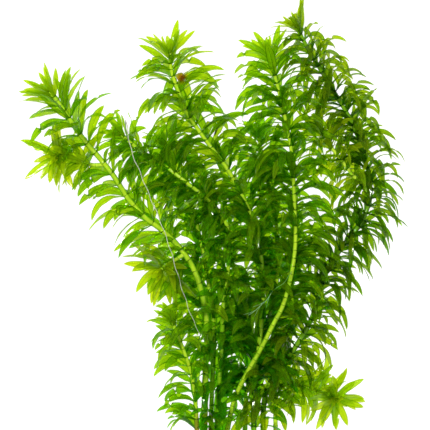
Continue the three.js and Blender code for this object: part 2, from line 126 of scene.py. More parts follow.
# How the solids' blades grow, then the thin leaves between them and last the late ones: the room
# that they keep to others, to their own shoot and to stems, their lowest foot, how uneven they are,
# the angle that they stand further aside, their length, their share of the shoot's droop and how it
# is spread from foot to tip, and their least twist
SOLID = dict(
    rooms=(ROOM_TO_OTHERS, ROOM_TO_OWN, ROOM_TO_STEMS), least_height=FOOT_HEIGHT,
    uneven=1, aside=0, longer=1, hooked=1, sag=(0.5, 1.5), least_twist=LEAST_TWIST,
)
THIN = dict(
    rooms=(0.25, 0.2, 0.15), least_height=REST_HEIGHT,
    uneven=1.6, aside=0, longer=1.05, hooked=1.25, sag=(0.1, 2.1), least_twist=-0.3,
)
LATE = dict(THIN, aside=20)
FIRST_LATE = 6  # the youngest whorl that has late leaves

# The thin leaf
ACROSS = np.array([-1, -0.5, 0, 0.5, 1])  # the lines along its upper side, from edge to edge
INTO_STEM = 0.4  # share of the way to the stem's middle that its foot reaches
THICKNESS = 0.24
TIP_THINNING = 0.55  # share of that lost from foot to tip
EDGE_THINNING = 0.75  # the same, from midrib to edge
TROUGH = 0.16  # depth of the fold along the midrib, as a share of half the width
WAVE = 0.07  # height of the ripples at the edges
RIPPLES = 2.3  # where one edge rises as the other falls
EVEN_RIPPLES = 1.4  # where both edges rise, to one of the others
RIPPLE_RISE = 3  # full after 1/3 of its length
SLENDER = 1.05  # its width, as a share of the blade
FOOT_WIDTH = 0.5  # share of its full width
FULL_WIDTH_FROM = 0.32
TAPER_FROM = 0.5
TAPER_POWERS = (2.1, 0.8)  # of the curve to the tip

# The buds
BUD_WHORLS = [(1.7, 0.42, 0.65), (0.8, 0.26, 0.38)]  # from the apex, length as a share, lean
BUD_LEAF = dict(recurve=-0.35, droop=0, sag=(0, 0), width=0.45 * LEAF_WIDTH, twist=0.2, age=0.2)
BUD_ANGLE_SPREAD = 0.2
BUD_LEAN_SPREAD = 0.1
BUD_RADIUS = 0.45  # where they stand, as a share of the stem's radius

# The stem
STEM_SIDES = 14
STEM_STEP = 1.4  # between its rings of corners
JOINT_SPACING = (0.9, 0.15)  # the least and its spread, as shares of the whorls'
LOWEST_JOINT = 1
NODE_OFFSETS = [-0.75, -0.32, 0, 0.32, 0.75]  # of the rings at a joint
NODE_SWELL = 0.12
NODE_WIDTH = 0.42
RING_MARGINS = (0.3, 0.4)  # from the cut end and from the apex
LAST_RING = 0.2  # from the apex
APEX_TAPER = 3
APEX_RADIUS = 0.02  # share of the stem's
APEX_POWER = 0.6
BEVEL = 0.25  # of its cut end
CUT_RINGS = (0.55, 0.9)  # radii on the cut face, as shares of the stem's
END_FACING_FOR_PAINTED_SHADE = 0.5  # how much an end counts as facing up or down, for the painted shade on a stem's sides

# The roots
ROOT_SIDES = 8
ROOT_STEP = 0.7
ROOT_WAVES = ((0.55, 0), (0.37, 1))  # sideways and up: radians to a millimetre, and at its foot
WAVE_RISE = 4  # full after 1/4 of its length
HAIR_SIDES = 5
HAIR_RINGS = 6
HAIR_RADII = (0.09, 0.05)
HAIR_SPLAY = 0.22
HAIR_BEND = 0.02
HAIR_LENGTH = (5, 1.5)  # the least, and its spread
HAIR_PLACES = (0.55, 0.1)  # the first and the step to the next, as shares of the root

# The shoots, as in the part's source: the radius at the stem's base, the bare length there, the
# spacing of full-grown whorls, every which of them the solid has, a leaf's length and droop, the
# degrees that the solid's leaves keep aside of the front, and the number of young whorls. An open
# shoot ends in a star.
USUAL = dict(slot="green_shoot", every=3, open=False)
SHOOTS = [
    dict(
        USUAL, name="left_side_shoot", slot="young_shoot", radius=1.1, bare=6, spacing=4,
        leaf=18, droop=0.7, aside=0, young=4, open=True,
        route=[(-53.2, 28.7, 12), (-60, 28.6, 9.5), (-68, 31.5, 9), (-75, 33, 11), (-78, 32.5, 17)],
    ),
    dict(
        USUAL, name="middle_side_shoot", slot="young_shoot", radius=1.1, bare=5, spacing=3.4,
        leaf=22, droop=0.8, aside=0, young=4, open=True,
        route=[(-13.2, -16.1, 8.5), (-17.5, -18.7, 11), (-22, -21.3, 14), (-26, -24.7, 18)],
    ),
    dict(
        USUAL, name="right_side_shoot", slot="young_shoot", radius=1.1, bare=7, spacing=4.4,
        leaf=18, droop=1.2, aside=15, young=4,
        route=[
            (79.5, 13, 10), (75, 19, 12), (69.5, 25.3, 13), (62.8, 33.8, 14), (57.6, 40.3, 14),
            (53, 48, 15),
        ],
    ),
    dict(
        USUAL, name="lower_right_stem", slot="young_shoot", radius=1.15, bare=12, spacing=4,
        leaf=17, droop=0.5, aside=0, young=4, open=True,
        route=[
            (32.5, -107, 2), (32.5, -93, 2), (34, -84.5, 2.5), (39, -81, 3.5), (49, -83.5, 5.5),
            (57, -86.5, 8), (61.5, -88, 13), (62.5, -88.5, 19),
        ],
    ),
    dict(
        USUAL, name="left_stem", radius=1.7, bare=50, spacing=6.5, every=2,
        leaf=24, droop=0.8, aside=40, young=8,
        route=[
            (-3.5, -110, 2), (-3, -84, 3), (-2, -56.5, 5), (-4, -38, 7), (-9, -23, 8),
            (-16.5, -12, 9), (-25.5, -3.3, 10), (-32.6, 1.9, 10.5), (-40.9, 11, 11.5),
            (-49, 23.5, 12), (-55.5, 31.7, 12), (-62.5, 39.8, 11.5), (-68.8, 48.5, 11),
            (-76.5, 60, 11.5), (-81.5, 65.8, 12.5),
        ],
    ),
    dict(
        USUAL, name="upper_left_stem", radius=1.4, bare=4, spacing=4.6,
        leaf=24, droop=1, aside=35, young=5,
        route=[
            (21.5, -109, 2), (21.5, -84, 4), (23.5, -66.5, 7), (25.5, -49, 9), (26, -29, 11),
            (24, -11.5, 12), (20.5, 2, 13), (14.5, 15, 13), (8.5, 26, 13), (1.6, 35.3, 12.5),
            (-5.5, 44.9, 12), (-11.9, 54.6, 12), (-16.9, 66.7, 12), (-20, 77, 13), (-20.3, 86, 15),
        ],
    ),
    dict(
        USUAL, name="crossing_stem", radius=1.3, bare=3, spacing=3.8,
        leaf=18, droop=1.5, aside=10, young=5,
        route=[
            (3, -109, 2), (4, -84, 4), (5.5, -59, 8), (6, -44, 11), (8, -29, 13), (9, -13, 14),
            (8.5, -3.5, 14.5), (5.5, 3, 15), (1.2, 8.3, 15.5), (-5.5, 14.4, 15.5), (-12, 19.5, 15),
            (-21, 26.5, 13), (-31, 33, 11), (-40, 39.5, 10), (-47, 45.5, 11),
        ],
    ),
    dict(
        USUAL, name="tall_stem", radius=1.25, bare=78, spacing=4,
        leaf=23, droop=1.1, aside=35, young=5,
        route=[
            (7.3, -109, 3), (11.5, -90, 7), (17.7, -76, 12), (24.5, -64, 15), (31, -51, 17.5),
            (36, -41, 19), (40, -26, 20), (42, -10, 20), (41.6, 8.5, 21), (40.2, 33.5, 21),
            (36.8, 52, 20), (33.2, 67.5, 19), (28.5, 86, 19),
        ],
    ),
    dict(
        USUAL, name="right_arching_stem", slot="olive_shoot", radius=1.35, bare=8, spacing=3.8,
        leaf=20, droop=1.6, aside=10, young=5,
        route=[
            (26, -108, 2), (27.5, -86.5, 3), (36, -71.5, 5), (42.5, -62.5, 7), (51, -47, 8),
            (56.5, -28, 9), (65, -13.5, 9.5), (75.5, 0.5, 10), (79.5, 13, 10), (78.3, 27, 10),
            (71.8, 47, 10.5), (65.3, 59, 11), (57.3, 72, 11.5), (49.5, 85, 12), (41.5, 99.5, 13),
        ],
    ),
    dict(
        USUAL, name="lower_left_stem", radius=1.2, bare=4, spacing=4.6,
        leaf=17, droop=1, aside=15, young=4,
        route=[
            (-7, -108, 2), (-7.5, -96.5, 2), (-8.5, -84, 3), (-10.5, -74, 4), (-13.5, -65, 6),
            (-17, -56, 8), (-20, -47.5, 10),
        ],
    ),
    dict(
        USUAL, name="inner_left_stem", radius=1.15, bare=2, spacing=4,
        leaf=19, droop=1.5, aside=15, young=4,
        route=[
            (-0.2, -107, 2), (0.5, -84, 2), (1.5, -56.5, 2.5), (-0.5, -36.5, 3), (-4, -15, 4),
            (-8, 2, 4.5), (-13, 16, 5), (-19, 30, 5.5), (-24, 41, 7),
        ],
    ),
    dict(
        USUAL, name="centre_stem", radius=1.25, bare=2, spacing=4,
        leaf=20, droop=1.5, aside=10, young=4,
        route=[
            (17, -107, 2), (18, -86.5, 2), (23, -65, 2.2), (30, -45, 3), (33.5, -25, 4.5),
            (33, -5, 5.5), (30, 13.5, 6.5), (26, 31, 7.5), (23.5, 45, 9),
        ],
    ),
]

# Each root's thread: its radius, the radius at its tip, its waves' height, and whether it is green
ROOTS = [
    dict(
        name="long_root", thread=(0.22, 0.14, 0.25, 0), hairs=0,
        route=[
            (-41.5, 40.8, 11.9), (-42.3, 45, 17), (-42.4, 50.5, 23), (-41.3, 46, 27.5),
            (-40.1, 38, 28.5), (-37.4, 30, 28.5), (-34, 22, 28), (-30.2, 12.5, 27),
            (-25.5, 1.5, 26.5), (-20.5, -12.5, 26), (-15, -31, 25), (-10, -46, 22), (-5.5, -56, 17),
        ],
    ),
    dict(
        name="short_root", thread=(0.14, 0.1, 0.2, 1), hairs=4,
        route=[
            (40.2, -24.5, 21.8), (36.5, -29.5, 26), (31, -34, 28), (26.5, -39.5, 28),
            (23, -43, 27.5), (18.5, -46, 26),
        ],
    ),
]

LEAF, STEM = 0, 1

# How full a shoot is and how its tissue looks: the late leaves of a whorl, the degrees that thin
# leaves keep from the front, how many of its youngest whorls lie over the stem all the same, how far
# its leaves are from green to yellow green, and how dark it is at its foot, middle and tip
LOOK_VALUES = ("late", "aside", "covered", "yellow", "dark")
LOOK_ROWS = {
    "left_side_shoot": (0, 8, 0, 0.9, (0.2, 0.1, 0)),
    "middle_side_shoot": (0, 8, 0, 0.9, (0, 0, 0)),
    "right_side_shoot": (0, 18, 9, 0.9, (0.3, 0.1, 0)),
    "lower_right_stem": (0, 8, 0, 0.8, (0.6, 0.2, 0)),
    "left_stem": (0, 36, 2, 0.8, (0.5, 0.3, 0.3)),
    "upper_left_stem": (2, 38, 4, 0.8, (1.3, 0.4, 0)),
    "crossing_stem": (0, 30, 9, 0.4, (1.9, 0.5, 0.1)),
    "tall_stem": (2, 40, 16, 0.5, (0.5, 0.3, 0.1)),
    "right_arching_stem": (3, 10, 99, 0.8, (0, 1, 0.1)),
    "lower_left_stem": (0, 30, 2, 0.6, (0.7, 0.2, 0)),
    "inner_left_stem": (1, 36, 2, 0.4, (1.7, 0.2, 0)),
    "centre_stem": (0, 35, 2, 0.1, (1.8, 0.2, 0)),
}
LOOKS = {name: dict(zip(LOOK_VALUES, row)) for name, row in LOOK_ROWS.items()}

# The width of a shoot's leaves at its foot, middle and tip, as a share of the other shoots'
NARROW = {"right_arching_stem": (1.1, 0.72, 0.75), "right_side_shoot": (0.85, 0.85, 0.85)}
OVERGROWN = 0.35  # share of the older whorls that lie over the stem too
LATE_ABOVE = {"right_arching_stem": 0.36}  # share of a shoot's length that has no late leaves
FOOT_MIDDLE_TIP = [0, 0.5, 1]

# The stretches of the stems in sight, as shares of their length
IN_SIGHT = {
    "left_stem": (0.45, 0.95), "upper_left_stem": (0.58, 0.93), "crossing_stem": (0.6, 0.8),
    "tall_stem": (0.03, 0.62), "lower_left_stem": (0, 0.3), "inner_left_stem": (0.12, 0.7),
    "centre_stem": (0.5, 0.75),
}
SIGHT_STEP = 1.2
SIGHT_WIDTH = 1.5  # to either side of a stem's middle
PASSING_OVER = 0.06  # share of the others' thin leaves that may pass over them

# Worn places of the leaves and of the stems: x, y, reach and strength
WORN = {LEAF: [(-15, 72.5, 3.2, 1.6)], STEM: [(-7.2, -108, 16, 1.2)]}

# Tissue of each slot: its name, then a leaf's colours where green, yellow and deep, and how much
# deeper its foot is, or a stem's colours where pale, dark and at joints
LEAF_TISSUE = {
    "green_shoot": ("green_leaf", (0.5, 0.84, 0.006), (0.69, 0.83, 0.01), (0.14, 0.52, 0.002), 0.15),
    "olive_shoot": ("olive_leaf", (0.46, 0.75, 0.006), (0.63, 0.76, 0.01), (0.14, 0.38, 0.002), 0.7),
    "young_shoot": ("young_leaf", (0.68, 0.88, 0.01), (0.8, 0.88, 0.014), (0.3, 0.64, 0.004), 0.15),
}
STEM_TISSUE = {
    "green_shoot": ("green_stem", (0.74, 0.93, 0.04), (0.2, 0.5, 0.006), (0.14, 0.32, 0.006)),
    "olive_shoot": ("olive_stem", (0.3, 0.58, 0.015), (0.08, 0.28, 0.004), (0.05, 0.16, 0.003)),
    "young_shoot": ("young_stem", (0.84, 0.97, 0.08), (0.34, 0.66, 0.012), (0.2, 0.45, 0.01)),
}
BROWN_LEAF = (0.5, 0.17, 0.01)
BROWN_STEM = (0.34, 0.28, 0.03)
CUT_FLESH = (0.62, 0.68, 0.3)
CUT_PORES = (0.16, 0.2, 0.05)
ROOT_PALE = (0.7, 0.68, 0.58)
ROOT_GREY = (0.44, 0.42, 0.34)
ROOT_GREEN = (0.24, 0.46, 0.2)
ROOT_FOOT = (0.1, 0.3, 0.02)

# How much deeper a leaf is by its own tint, by its shoot's darkness and in blotches
DEPTHS = (0.55, 0.4, 0.15)
TINT_YELLOW = 0.2  # how much yellower it is by its tint
VEIN_WAVES = 26.0  # radians from midrib to edge
MIDRIB = 0.16  # share of half the width
# Where the painted shade at a leaf's edges begins, as a share of half the width
EDGE = 0.7
LINES = (0.12, 0.35, 0.6)  # how dark the veins, the midrib and the painted shade at the edges are
LINE_SHADE = 0.6  # of the deep colour
COAT_ROUGHNESS = 0.12

STOUTEST = max(shoot["radius"] for shoot in SHOOTS)
UP = np.array([0.0, 0.0, 1.0])
TOWARDS_CUT_ENDS = np.array([0.0, -1.0, 0.0])


def chance(*seeds):
    """A number from 0 to 1 that follows from its seeds. A leaf's last seed says what it is for."""
    total, growth, weight, step, height = SCRAMBLE
    for seed in seeds:
        total = total * growth + seed * weight + step
    wave = math.sin(total) * height
    return wave - math.floor(wave)


def spread(width, *seeds):
    return width * (2 * chance(*seeds) - 1)


def unit(v):
    return v / np.linalg.norm(v, axis=-1, keepdims=True)


class Curve:
    """A Catmull-Rom curve through a route's points, measured along its length."""

    DIVISIONS = 200
    NUDGE = 1e-4

    def __init__(self, route):
        self.points = np.array(route, float)
        self.shares = np.linspace(0, 1, self.DIVISIONS + 1)
        marks = self.at(self.shares)
        steps = np.linalg.norm(np.diff(marks, axis=0), axis=1)
        self.lengths = np.concatenate([[0], np.cumsum(steps)])
        self.length = self.lengths[-1]

    def at(self, t):
        p = self.points
        before = 2 * p[0] - p[1]
        after = 2 * p[-1] - p[-2]
        q = np.vstack([before, p, after])
        place = (len(p) - 1) * np.asarray(t, float)
        i = np.minimum(np.floor(place).astype(int), len(p) - 2)
        w = (place - i)[..., None]
        x0, x1, x2, x3 = q[i], q[i + 1], q[i + 2], q[i + 3]
        t0 = 0.5 * (x2 - x0)
        t1 = 0.5 * (x3 - x1)
        return x1 + t0 * w + (3 * (x2 - x1) - 2 * t0 - t1) * w**2 + (2 * (x1 - x2) + t0 + t1) * w**3

    def share(self, distance):
        return np.interp(np.clip(distance, 0, self.length), self.lengths, self.shares)

    def frame(self, distance):
        """The stem's middle, its direction and two directions across it."""
        t = self.share(distance)
        ahead = self.at(np.minimum(t + self.NUDGE, 1))
        behind = self.at(np.maximum(t - self.NUDGE, 0))
        along = unit(ahead - behind)
        side = unit(np.cross(along, UP))
        return self.at(t), along, side, np.cross(side, along)


def outward(side, front, angle):
    angle = np.asarray(angle)[..., None]
    return side * np.cos(angle) - front * np.sin(angle)


def stem_radius(shoot, distance, length):
    return shoot["radius"] * (1 - STEM_TAPER * (distance / length))


def whorl_distances(shoot, length):
    """Distances of the whorls from the base, with the youngest whorl first."""
    found = []
    from_apex = FIRST_WHORL
    while from_apex < length - shoot["bare"]:
        found.append(length - from_apex)
        from_apex += min(shoot["spacing"], YOUNG_SPACING + SPACING_GROWTH * (len(found) - 1))
    return found


def turn_along_surface(heading, steepness):
    """Turns the headings that would take a leaf through the surface."""
    low = heading[:, 2] < steepness
    climb = np.minimum(steepness, STEEPEST_CLIMB)
    level = np.hypot(heading[:, 0], heading[:, 1])
    wanted = np.sqrt(np.maximum(0, 1 - climb**2)) / level
    turned = np.column_stack([heading[:, 0] * wanted, heading[:, 1] * wanted, climb])
    return np.where(low[:, None], turned, heading)


def grow_leaves(frame, radius, shape, tries=TRIES):
    """The line of each tried leaf, its heading and normal at each step, and its length."""
    centre, along, side, front = frame
    lean = (shape["lean"] + tries[:, 0])[:, None]
    length = shape["length"] * tries[:, 2]
    radial = outward(side, front, shape["angle"] + tries[:, 1])
    across = np.cross(along, radial)
    heading = along * np.cos(lean) + radial * np.sin(lean)
    point = centre + radial * radius
    step = length / LEAF_STEPS
    bend = shape["recurve"] / LEAF_STEPS
    points, headings, normals = [], [], []
    for i in range(LEAF_STEPS + 1):
        natural = unit(np.cross(heading, across))
        flat = unit(UP - heading * heading[:, 2:])
        facing = np.sum(natural * flat, axis=1, keepdims=True)
        flat = np.where(facing < 0, -flat, flat)
        turned = FACE_UP * shape["twist"] * min(1, i / (TWIST_LENGTH * LEAF_STEPS))
        points.append(point)
        headings.append(heading)
        normals.append(unit(natural + (flat - natural) * turned))
        on_axis = np.sum(across * heading, axis=1, keepdims=True)
        heading = (
            heading * math.cos(bend)
            + np.cross(across, heading) * math.sin(bend)
            + across * on_axis * (1 - math.cos(bend))
        )
        sag = shape["sag"][0] + (shape["sag"][1] - shape["sag"][0]) * i / LEAF_STEPS
        heading = unit(heading + TOWARDS_CUT_ENDS * (sag * shape["droop"] / LEAF_STEPS))
        heading = turn_along_surface(heading, (REST_HEIGHT + BLADE_DEPTH - point[:, 2]) / step)
        point = point + heading * step[:, None]
    return np.stack(points, 1), np.stack(headings, 1), np.stack(normals, 1), length


SAMPLE_SHARES = np.arange(SAMPLES_ALONG + 1) / SAMPLES_ALONG


def sample_blade(points, headings, normals, width, length):
    """Points spread over the flat side of a solid's blade."""
    sections = SHORT_BLADE if length < SHORT_LENGTH else LONG_BLADE
    rows = [(0, points[0], points[0])]
    for share, width_share in sections:
        i = int(math.floor(share * LEAF_STEPS + 0.5))
        across = unit(np.cross(normals[i], headings[i]))
        half = width * width_share / 2
        left = points[i] - across * half
        right = points[i] + across * half
        keel = points[i] - normals[i] * BLADE_DEPTH * width_share
        lift = max(0, REST_HEIGHT - min(left[2], right[2], keel[2]))
        rows.append((share, left + UP * lift, right + UP * lift))
    tip = points[-1].copy()
    tip[2] = max(tip[2], REST_HEIGHT)
    rows.append((1, tip, tip))
    shares = [row[0] for row in rows]
    edges = []
    for side in (1, 2):
        places = np.array([row[side] for row in rows]).T
        edges.append(np.column_stack([np.interp(SAMPLE_SHARES, shares, place) for place in places]))
    near, far = edges
    t = (np.arange(SAMPLES_ACROSS) / (SAMPLES_ACROSS - 1))[None, :, None]
    return near[:, None] + (far - near)[:, None] * t


class Placed:
    """Points of the pieces placed so far, with their shoot, their whorl and a stem's radius."""

    def __init__(self, size=250000):
        self.points = np.zeros((size, 3))
        self.owner = np.zeros(size, int)
        self.whorl = np.zeros(size, int)
        self.radius = np.full(size, np.nan)
        self.count = 0

    def add(self, points, owner, whorl, radius=np.nan):
        end = self.count + len(points)
        here = slice(self.count, end)
        self.points[here] = points
        self.owner[here] = owner
        self.whorl[here] = whorl
        self.radius[here] = radius
        self.count = end

    def near(self, box, reach, among=None):
        """The numbers of the points that lie within reach of a box."""
        among = np.arange(self.count) if among is None else among
        points = self.points[among]
        low = box.min(0) - reach
        high = box.max(0) + reach
        inside = (points > low) & (points < high)
        return among[inside[:, 0] & inside[:, 1] & inside[:, 2]]

    def has_room(self, samples, owner, whorl, near, rooms):
        to_others, to_own, to_stems = rooms
        own = self.owner[near] == owner
        own_whorl = own & (self.whorl[near] == whorl)
        radius = self.radius[near]
        room = np.where(np.isnan(radius), np.where(own, to_own, to_others), radius + to_stems)
        share = np.repeat(SAMPLE_SHARES, SAMPLES_ACROSS)[:, None]
        opened = np.where(own_whorl, np.minimum(1, share / WHORL_SHARE), 1)
        here = samples.reshape(-1, 3)
        there = self.points[near]
        square = (here**2).sum(1)[:, None] + (there**2).sum(1) - 2 * here @ there.T
        clear = square > (room * opened) ** 2
        clear |= own & ~own_whorl & (share < FOOT_SHARE)
        return bool(clear.all())


def turn_aside(angle, aside):
    """Turns a leaf's place away from the front, so that the stem stays in sight."""
    from_front = (angle - FRONT + math.pi) % (2 * math.pi) - math.pi
    turned = aside + abs(from_front) * (1 - aside / math.pi)
    return FRONT + math.copysign(turned, from_front)


def leaf_shape(number, whorl, leaf, kind):
    """What one leaf is like: number is its shoot, whorl its place from the apex."""
    shoot = SHOOTS[number]
    grown = min(1, (whorl + YOUNGEST_AGE) / shoot["young"])
    opened = shoot["open"]
    age = max(OPEN_AGE, grown) if opened else grown
    tip_lean = OPEN_LEAN if opened else YOUNG_LEAN
    length = shoot["leaf"] * (YOUNG_SHARE + (1 - YOUNG_SHARE) * age)
    size = shoot["leaf"] / LEAF_LENGTH
    seeds = (number, whorl, leaf)
    uneven = kind["uneven"]
    turns = leaf + 0.5 if kind is not LATE else 2 * leaf + 1
    angle = WHORL_TURN * whorl + LEAF_TURN * turns + spread(ANGLE_SPREAD * uneven, *seeds, 1)
    look = LOOKS[shoot["name"]]
    aside = shoot["aside"] if kind is SOLID else look["aside"] + kind["aside"]
    overgrown = whorl < look["covered"] or chance(number, whorl, 13) < OVERGROWN
    if kind is not SOLID and overgrown:
        aside = 0
    return {
        "angle": turn_aside(angle, math.radians(aside)),
        "lean": tip_lean + (LEAN - tip_lean) * grown + spread(LEAN_SPREAD * uneven, *seeds, 2),
        "recurve": RECURVE * grown + spread(RECURVE_SPREAD * uneven, *seeds, 3),
        "droop": shoot["droop"] * kind["hooked"] * grown * (1 + spread(DROOP_SPREAD * uneven, *seeds, 4)),
        "length": length * kind["longer"] * (1 + spread(LENGTH_SPREAD, *seeds, 5)),
        "width": LEAF_WIDTH * (YOUNG_WIDTH + (1 - YOUNG_WIDTH) * age) * math.sqrt(size),
        "twist": kind["least_twist"] + (1 - kind["least_twist"]) * chance(*seeds, 6),
        "sag": kind["sag"],
        "age": age,
    }


def keep_leaf(lines, k, shape, frame, seeds, height):
    """What a leaf's mesh is made from: height is its share of the way up the shoot."""
    points, headings, normals, _ = lines
    return {
        "points": points[k], "headings": headings[k], "normals": normals[k], "core": frame[0],
        "width": shape["width"], "age": shape["age"], "height": height,
        "tint": chance(*seeds, 7), "phase": chance(*seeds, 8),
    }


def stems_in_sight(curves):
    """Points of the stems' stretches in sight, each with the number of its shoot."""
    rows = []
    for number, shoot in enumerate(SHOOTS):
        if shoot["name"] not in IN_SIGHT:
            continue
        low, high = (share * curves[number].length for share in IN_SIGHT[shoot["name"]])
        middles = curves[number].frame(np.arange(low, high, SIGHT_STEP))[0]
        rows.append(np.column_stack([middles, np.full(len(middles), number)]))
    return np.vstack(rows)


def passes_over(sight, samples, owner):
    """Whether a blade passes over a stretch in sight of another shoot's stem."""
    here = samples.reshape(-1, 3)
    others = sight[sight[:, 3] != owner]
    gap = np.hypot(here[:, 0, None] - others[:, 0], here[:, 1, None] - others[:, 1])
    return bool(((gap < SIGHT_WIDTH) & (here[:, 2, None] > others[:, 2])).any())


def roomy_leaf(placed, sight, number, whorl, leaf, frame, radius, height, kind):
    """The first tried form of a leaf that has room, or None."""
    shape = leaf_shape(number, whorl, leaf, kind)
    rooms = kind["rooms"]
    free = kind is SOLID or chance(number, whorl, leaf, 11) < PASSING_OVER
    foot = frame[0] + outward(frame[2], frame[3], shape["angle"]) * radius
    if foot[2] < kind["least_height"]:
        return None
    lines = grow_leaves(frame, radius, shape)
    points, headings, normals, length = lines
    reach = max(rooms[0], rooms[2] + STOUTEST)
    around = placed.near(points.reshape(-1, 3), reach + shape["width"])
    for k in range(len(TRIES)):
        samples = sample_blade(points[k], headings[k], normals[k], shape["width"], length[k])
        if not free and passes_over(sight, samples, number):
            continue
        near = placed.near(samples.reshape(-1, 3), reach, around)
        if placed.has_room(samples, number, whorl, near, rooms):
            kept = samples[SAMPLE_SHARES >= FOOT_SHARE / 2].reshape(-1, 3)
            placed.add(kept, number, whorl)
            return keep_leaf(lines, k, shape, frame, (number, whorl, leaf), height)
    return None


def place_lines(placed):
    lines = [(shoot["route"], shoot["radius"]) for shoot in SHOOTS]
    lines += [(root["route"], ROOT_RADIUS) for root in ROOTS]
    for number, (route, radius) in enumerate(lines):
        curve = Curve(route)
        steps = round(curve.length)
        middles = curve.frame(np.arange(steps + 1) * curve.length / steps)[0]
        placed.add(middles, number, NO_WHORL, radius)


def grow_bunch():
    """Each shoot's curve and leaves: first those that the solids have, then the ones between them."""
    placed = Placed()
    place_lines(placed)
    curves = [Curve(shoot["route"]) for shoot in SHOOTS]
    sight = stems_in_sight(curves)
    leaves = [[] for _ in SHOOTS]
    missing = []
    late = []
    for number, shoot in enumerate(SHOOTS):
        curve = curves[number]
        whorls = list(enumerate(whorl_distances(shoot, curve.length)))
        for whorl, distance in reversed(whorls):
            radius = stem_radius(shoot, distance, curve.length)
            here = (curve.frame(distance), radius, distance / curve.length)
            for leaf in range(LEAVES_PER_WHORL):
                found = None
                if whorl % shoot["every"] == 0:
                    found = roomy_leaf(placed, sight, number, whorl, leaf, *here, SOLID)
                if found:
                    leaves[number].append(found)
                else:
                    missing.append((number, whorl, leaf, *here, THIN))
            if whorl >= FIRST_LATE and here[2] > LATE_ABOVE.get(shoot["name"], 0):
                for leaf in range(LOOKS[shoot["name"]]["late"]):
                    late.append((number, whorl, LEAVES_PER_WHORL + leaf, *here, LATE))
    for number, *rest in missing + late:
        found = roomy_leaf(placed, sight, number, *rest)
        if found:
            leaves[number].append(found)
    for number, shoot in enumerate(SHOOTS):
        leaves[number] += bud_leaves(shoot, number, curves[number])
    return curves, leaves


def bud_leaves(shoot, number, curve):
    """The small leaves that close round a growing point."""
    found = []
    for k, (from_apex, length_share, lean) in enumerate(BUD_WHORLS):
        frame = curve.frame(curve.length - from_apex)
        for leaf in range(LEAVES_PER_WHORL):
            seeds = (number, NO_WHORL - 1 - k, leaf)
            shape = dict(
                BUD_LEAF,
                angle=LEAF_TURN * (leaf + 0.5 * k) + spread(BUD_ANGLE_SPREAD, *seeds, 1),
                lean=lean + spread(BUD_LEAN_SPREAD, *seeds, 2),
                length=shoot["leaf"] * length_share,
            )
            lines = grow_leaves(frame, BUD_RADIUS * shoot["radius"], shape, TRIES[:1])
            found.append(keep_leaf(lines, 0, shape, frame, seeds, 1))
    return found


def wear(corners, material):
    """How worn the tissue is at each corner, from 0 to 1."""
    worn = np.zeros(len(corners))
    for x, y, reach, strength in WORN[material]:
        far = np.hypot(corners[:, 0] - x, corners[:, 1] - y) / reach
        worn = np.maximum(worn, strength * np.clip(1 - far, 0, 1))
    return np.minimum(worn, 1)


def add_object(name, data):
    made = bpy.data.objects.new(name, data)
    bpy.context.scene.collection.objects.link(made)
    return made


class Body:
    """Growing arrays of corners, faces and values from which one mesh is made."""

    VALUES = ("tint", "age", "along", "across", "ring", "cut", "yellow", "dark", "worn", "crown")

    def __init__(self):
        self.corners = []
        self.values = []
        self.faces = []
        self.materials = []
        self.sharp = []
        self.count = 0

    def add(self, corners, faces, material, sharp=(), **values):
        rows = np.zeros((len(corners), len(self.VALUES)))
        values["worn"] = wear(corners, material)
        for name, value in values.items():
            rows[:, self.VALUES.index(name)] = value
        self.corners.append(corners)
        self.values.append(rows)
        self.faces += [tuple(corner + self.count for corner in face) for face in faces]
        self.materials += [material] * len(faces)
        self.sharp += [(a + self.count, b + self.count) for a, b in sharp]
        self.count += len(corners)

    def make(self, name, materials):
        mesh = bpy.data.meshes.new(name)
        corners = np.vstack(self.corners) * MM
        mesh.from_pydata(corners.tolist(), [], self.faces)
        mesh.polygons.foreach_set("use_smooth", [True] * len(self.faces))
        mesh.polygons.foreach_set("material_index", self.materials)
        values = np.vstack(self.values)
        for k, value in enumerate(self.VALUES):
            attribute = mesh.attributes.new(value, "FLOAT", "POINT")
            attribute.data.foreach_set("value", values[:, k].astype(np.float32))
        self.mark_sharp(mesh)
        for material in materials:
            mesh.materials.append(material)
        mesh.update()
        return add_object(name, mesh)

    def mark_sharp(self, mesh):
        if not self.sharp:
            return
        ends = np.empty(2 * len(mesh.edges), np.int64)
        mesh.edges.foreach_get("vertices", ends)
        ends = np.sort(ends.reshape(-1, 2), axis=1)
        wanted = np.sort(np.array(self.sharp, np.int64), axis=1)
        sharp = np.isin(ends[:, 0] * self.count + ends[:, 1], wanted[:, 0] * self.count + wanted[:, 1])
        attribute = mesh.attributes.new("sharp_edge", "BOOLEAN", "EDGE")
        attribute.data.foreach_set("value", sharp)


def width_profile(share):
    """A leaf's width along its length, as a share of its full width."""
    t = np.clip(share / FULL_WIDTH_FROM, 0, 1)
    opened = t * t * (3 - 2 * t)
    opening = FOOT_WIDTH + (1 - FOOT_WIDTH) * opened
    past = np.clip((share - TAPER_FROM) / (1 - TAPER_FROM), 0, 1)
    inner, outer = TAPER_POWERS
    return opening * (1 - past**inner) ** outer


ROUND = np.concatenate([ACROSS, ACROSS[1:-1][::-1]])  # the corners round a leaf
RING = len(ROUND)


def leaf_faces():
    """The faces and rim edges of a leaf of LEAF_STEPS rings of corners and a tip."""
    faces = [tuple(range(RING))]
    rim = []
    for i in range(LEAF_STEPS - 1):
        for k in range(RING):
            near, far = i * RING, (i + 1) * RING
            after = (k + 1) % RING
            faces.append((near + k, far + k, far + after, near + after))
        for k in (0, len(ACROSS) - 1):
            rim.append((i * RING + k, (i + 1) * RING + k))
    last = (LEAF_STEPS - 1) * RING
    tip = LEAF_STEPS * RING
    faces += [(last + k, tip, last + (k + 1) % RING) for k in range(RING)]
    rim += [(last + k, tip) for k in (0, len(ACROSS) - 1)]
    return faces, rim


LEAF_FACES, LEAF_RIM = leaf_faces()


